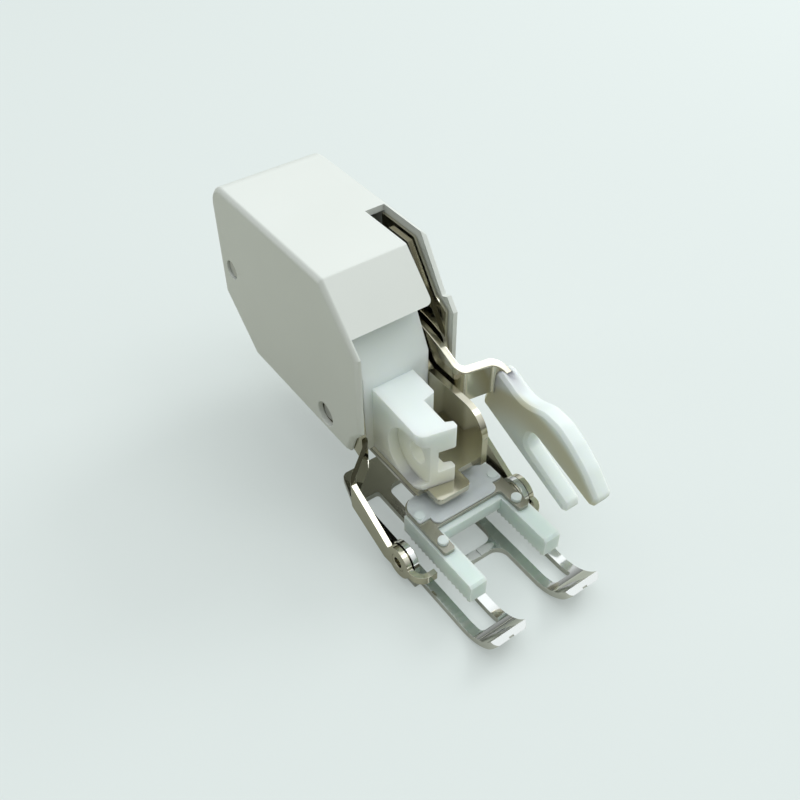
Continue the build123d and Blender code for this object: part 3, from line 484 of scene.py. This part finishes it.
table_tone = (0.50, 0.51, 0.44)
table_seen = (0.745, 0.785, 0.77)
table_sheen = (0.70, 0.765, 0.75)
sheen_share = 0.36
pale, shader, place = start_finish("pale_table")
seen = place.make("ShaderNodeLightPath", {}, {}, "Is Camera Ray")
feed(shader, Base_Color=seen.mix(table_tone, table_seen), Roughness=0.9, Specular_IOR_Level=0.0)
lit = Socket(pale.node_tree, shader.outputs["BSDF"])
sheen = place.make("ShaderNodeEmission", {}, {"Color": (*table_sheen, 1.0), "Strength": 1.0})
blend = place.make("ShaderNodeMixShader", {}, {0: seen * sheen_share, 1: lit, 2: sheen})
feed(pale.node_tree.nodes["Material Output"], Surface=blend)

top_half = 4.0
top_corners = np.array([[-1, -1, 0], [1, -1, 0], [1, 1, 0], [-1, 1, 0]], dtype=float) * top_half
table = flat_sided("table_top", top_corners, [(0, 1, 2, 3)], pale)

# Light: a bright ceiling over a dim room, with three soft square lamps in it.
# One lamp stands high in front of the toes, one low behind the foot on its left, and the strongest
# to its right.

lamp_tone = (0.97, 1.0, 1.0)
lamp_target = (0.0, 0.02, 0.02)


def stand(right, up, back, place):
    """The matrix of a lamp or a camera: its three own axes as columns, and its place in metres."""
    columns = np.column_stack([right, up, back, place])
    return Matrix(np.vstack([columns, [0, 0, 0, 1]]))


def soft_lamp(name, place, size, energy):
    """A square lamp at this place in metres, turned to face the foot."""
    data = bpy.data.lights.new(name, "AREA")
    data.shape = "RECTANGLE"
    data.size = size
    data.size_y = size
    data.energy = energy
    data.color = lamp_tone
    back = np.array(place) - lamp_target
    back = back / np.linalg.norm(back)
    side = np.cross((0.0, 1.0, 0.0), back)
    side = side / np.linalg.norm(side)
    set_up(name, data).matrix_world = stand(side, np.cross(back, side), back, place)


soft_lamp("upper_lamp", place=(0.32, -0.19, 0.66), size=0.26, energy=0.42)
soft_lamp("far_lamp", place=(-0.51, 0.445, 0.28), size=0.16, energy=0.3)
soft_lamp("side_lamp", place=(0.56, 0.1, 0.46), size=0.28, energy=1.3)

ceiling = (0.3, 0.04, 0.953)
ceiling_start = 0.05
ceiling_fall = 1.1
dim_room = (0.06, 0.062, 0.045)
bright_ceiling = (1.36, 1.43, 1.44)
backdrop = (0.76, 0.80, 0.785)
world = bpy.data.worlds.new("studio_room")
bpy.context.scene.world = world
world.use_nodes = True
direction = world.node_tree.nodes.new("ShaderNodeTexCoord")
room = Socket(world.node_tree, direction.outputs["Generated"])
upward = room.vector("DOT_PRODUCT", ceiling, "Value").rise(ceiling_start, 1.0)
glow = (upward ** ceiling_fall).mix(dim_room, bright_ceiling)
looked_at = room.make("ShaderNodeLightPath", {}, {}, "Is Camera Ray")
feed(world.node_tree.nodes["Background"], Color=looked_at.mix(glow, backdrop), Strength=1.0)

# Camera: in front of the toes and above them, on the left, where the photograph was taken from.
# Its place, its axes and its lens are worked out from edges of the housing and the sole.

camera_right = (0.81234, -0.58313, -0.00712)
camera_up = (0.40684, 0.55793, 0.72331)
camera_back = (-0.41781, -0.59048, 0.69048)
camera_place = (-0.06598, -0.07056, 0.12887)
camera_data = bpy.data.cameras.new("camera")
camera_data.sensor_fit = "HORIZONTAL"
camera_data.sensor_width = 36.0
camera_data.lens = 41.335
camera_data.clip_start = 0.01
camera = set_up("camera", camera_data)
camera.matrix_world = stand(camera_right, camera_up, camera_back, camera_place)
bpy.context.scene.camera = camera
bpy.context.scene.view_settings.view_transform = "Standard"
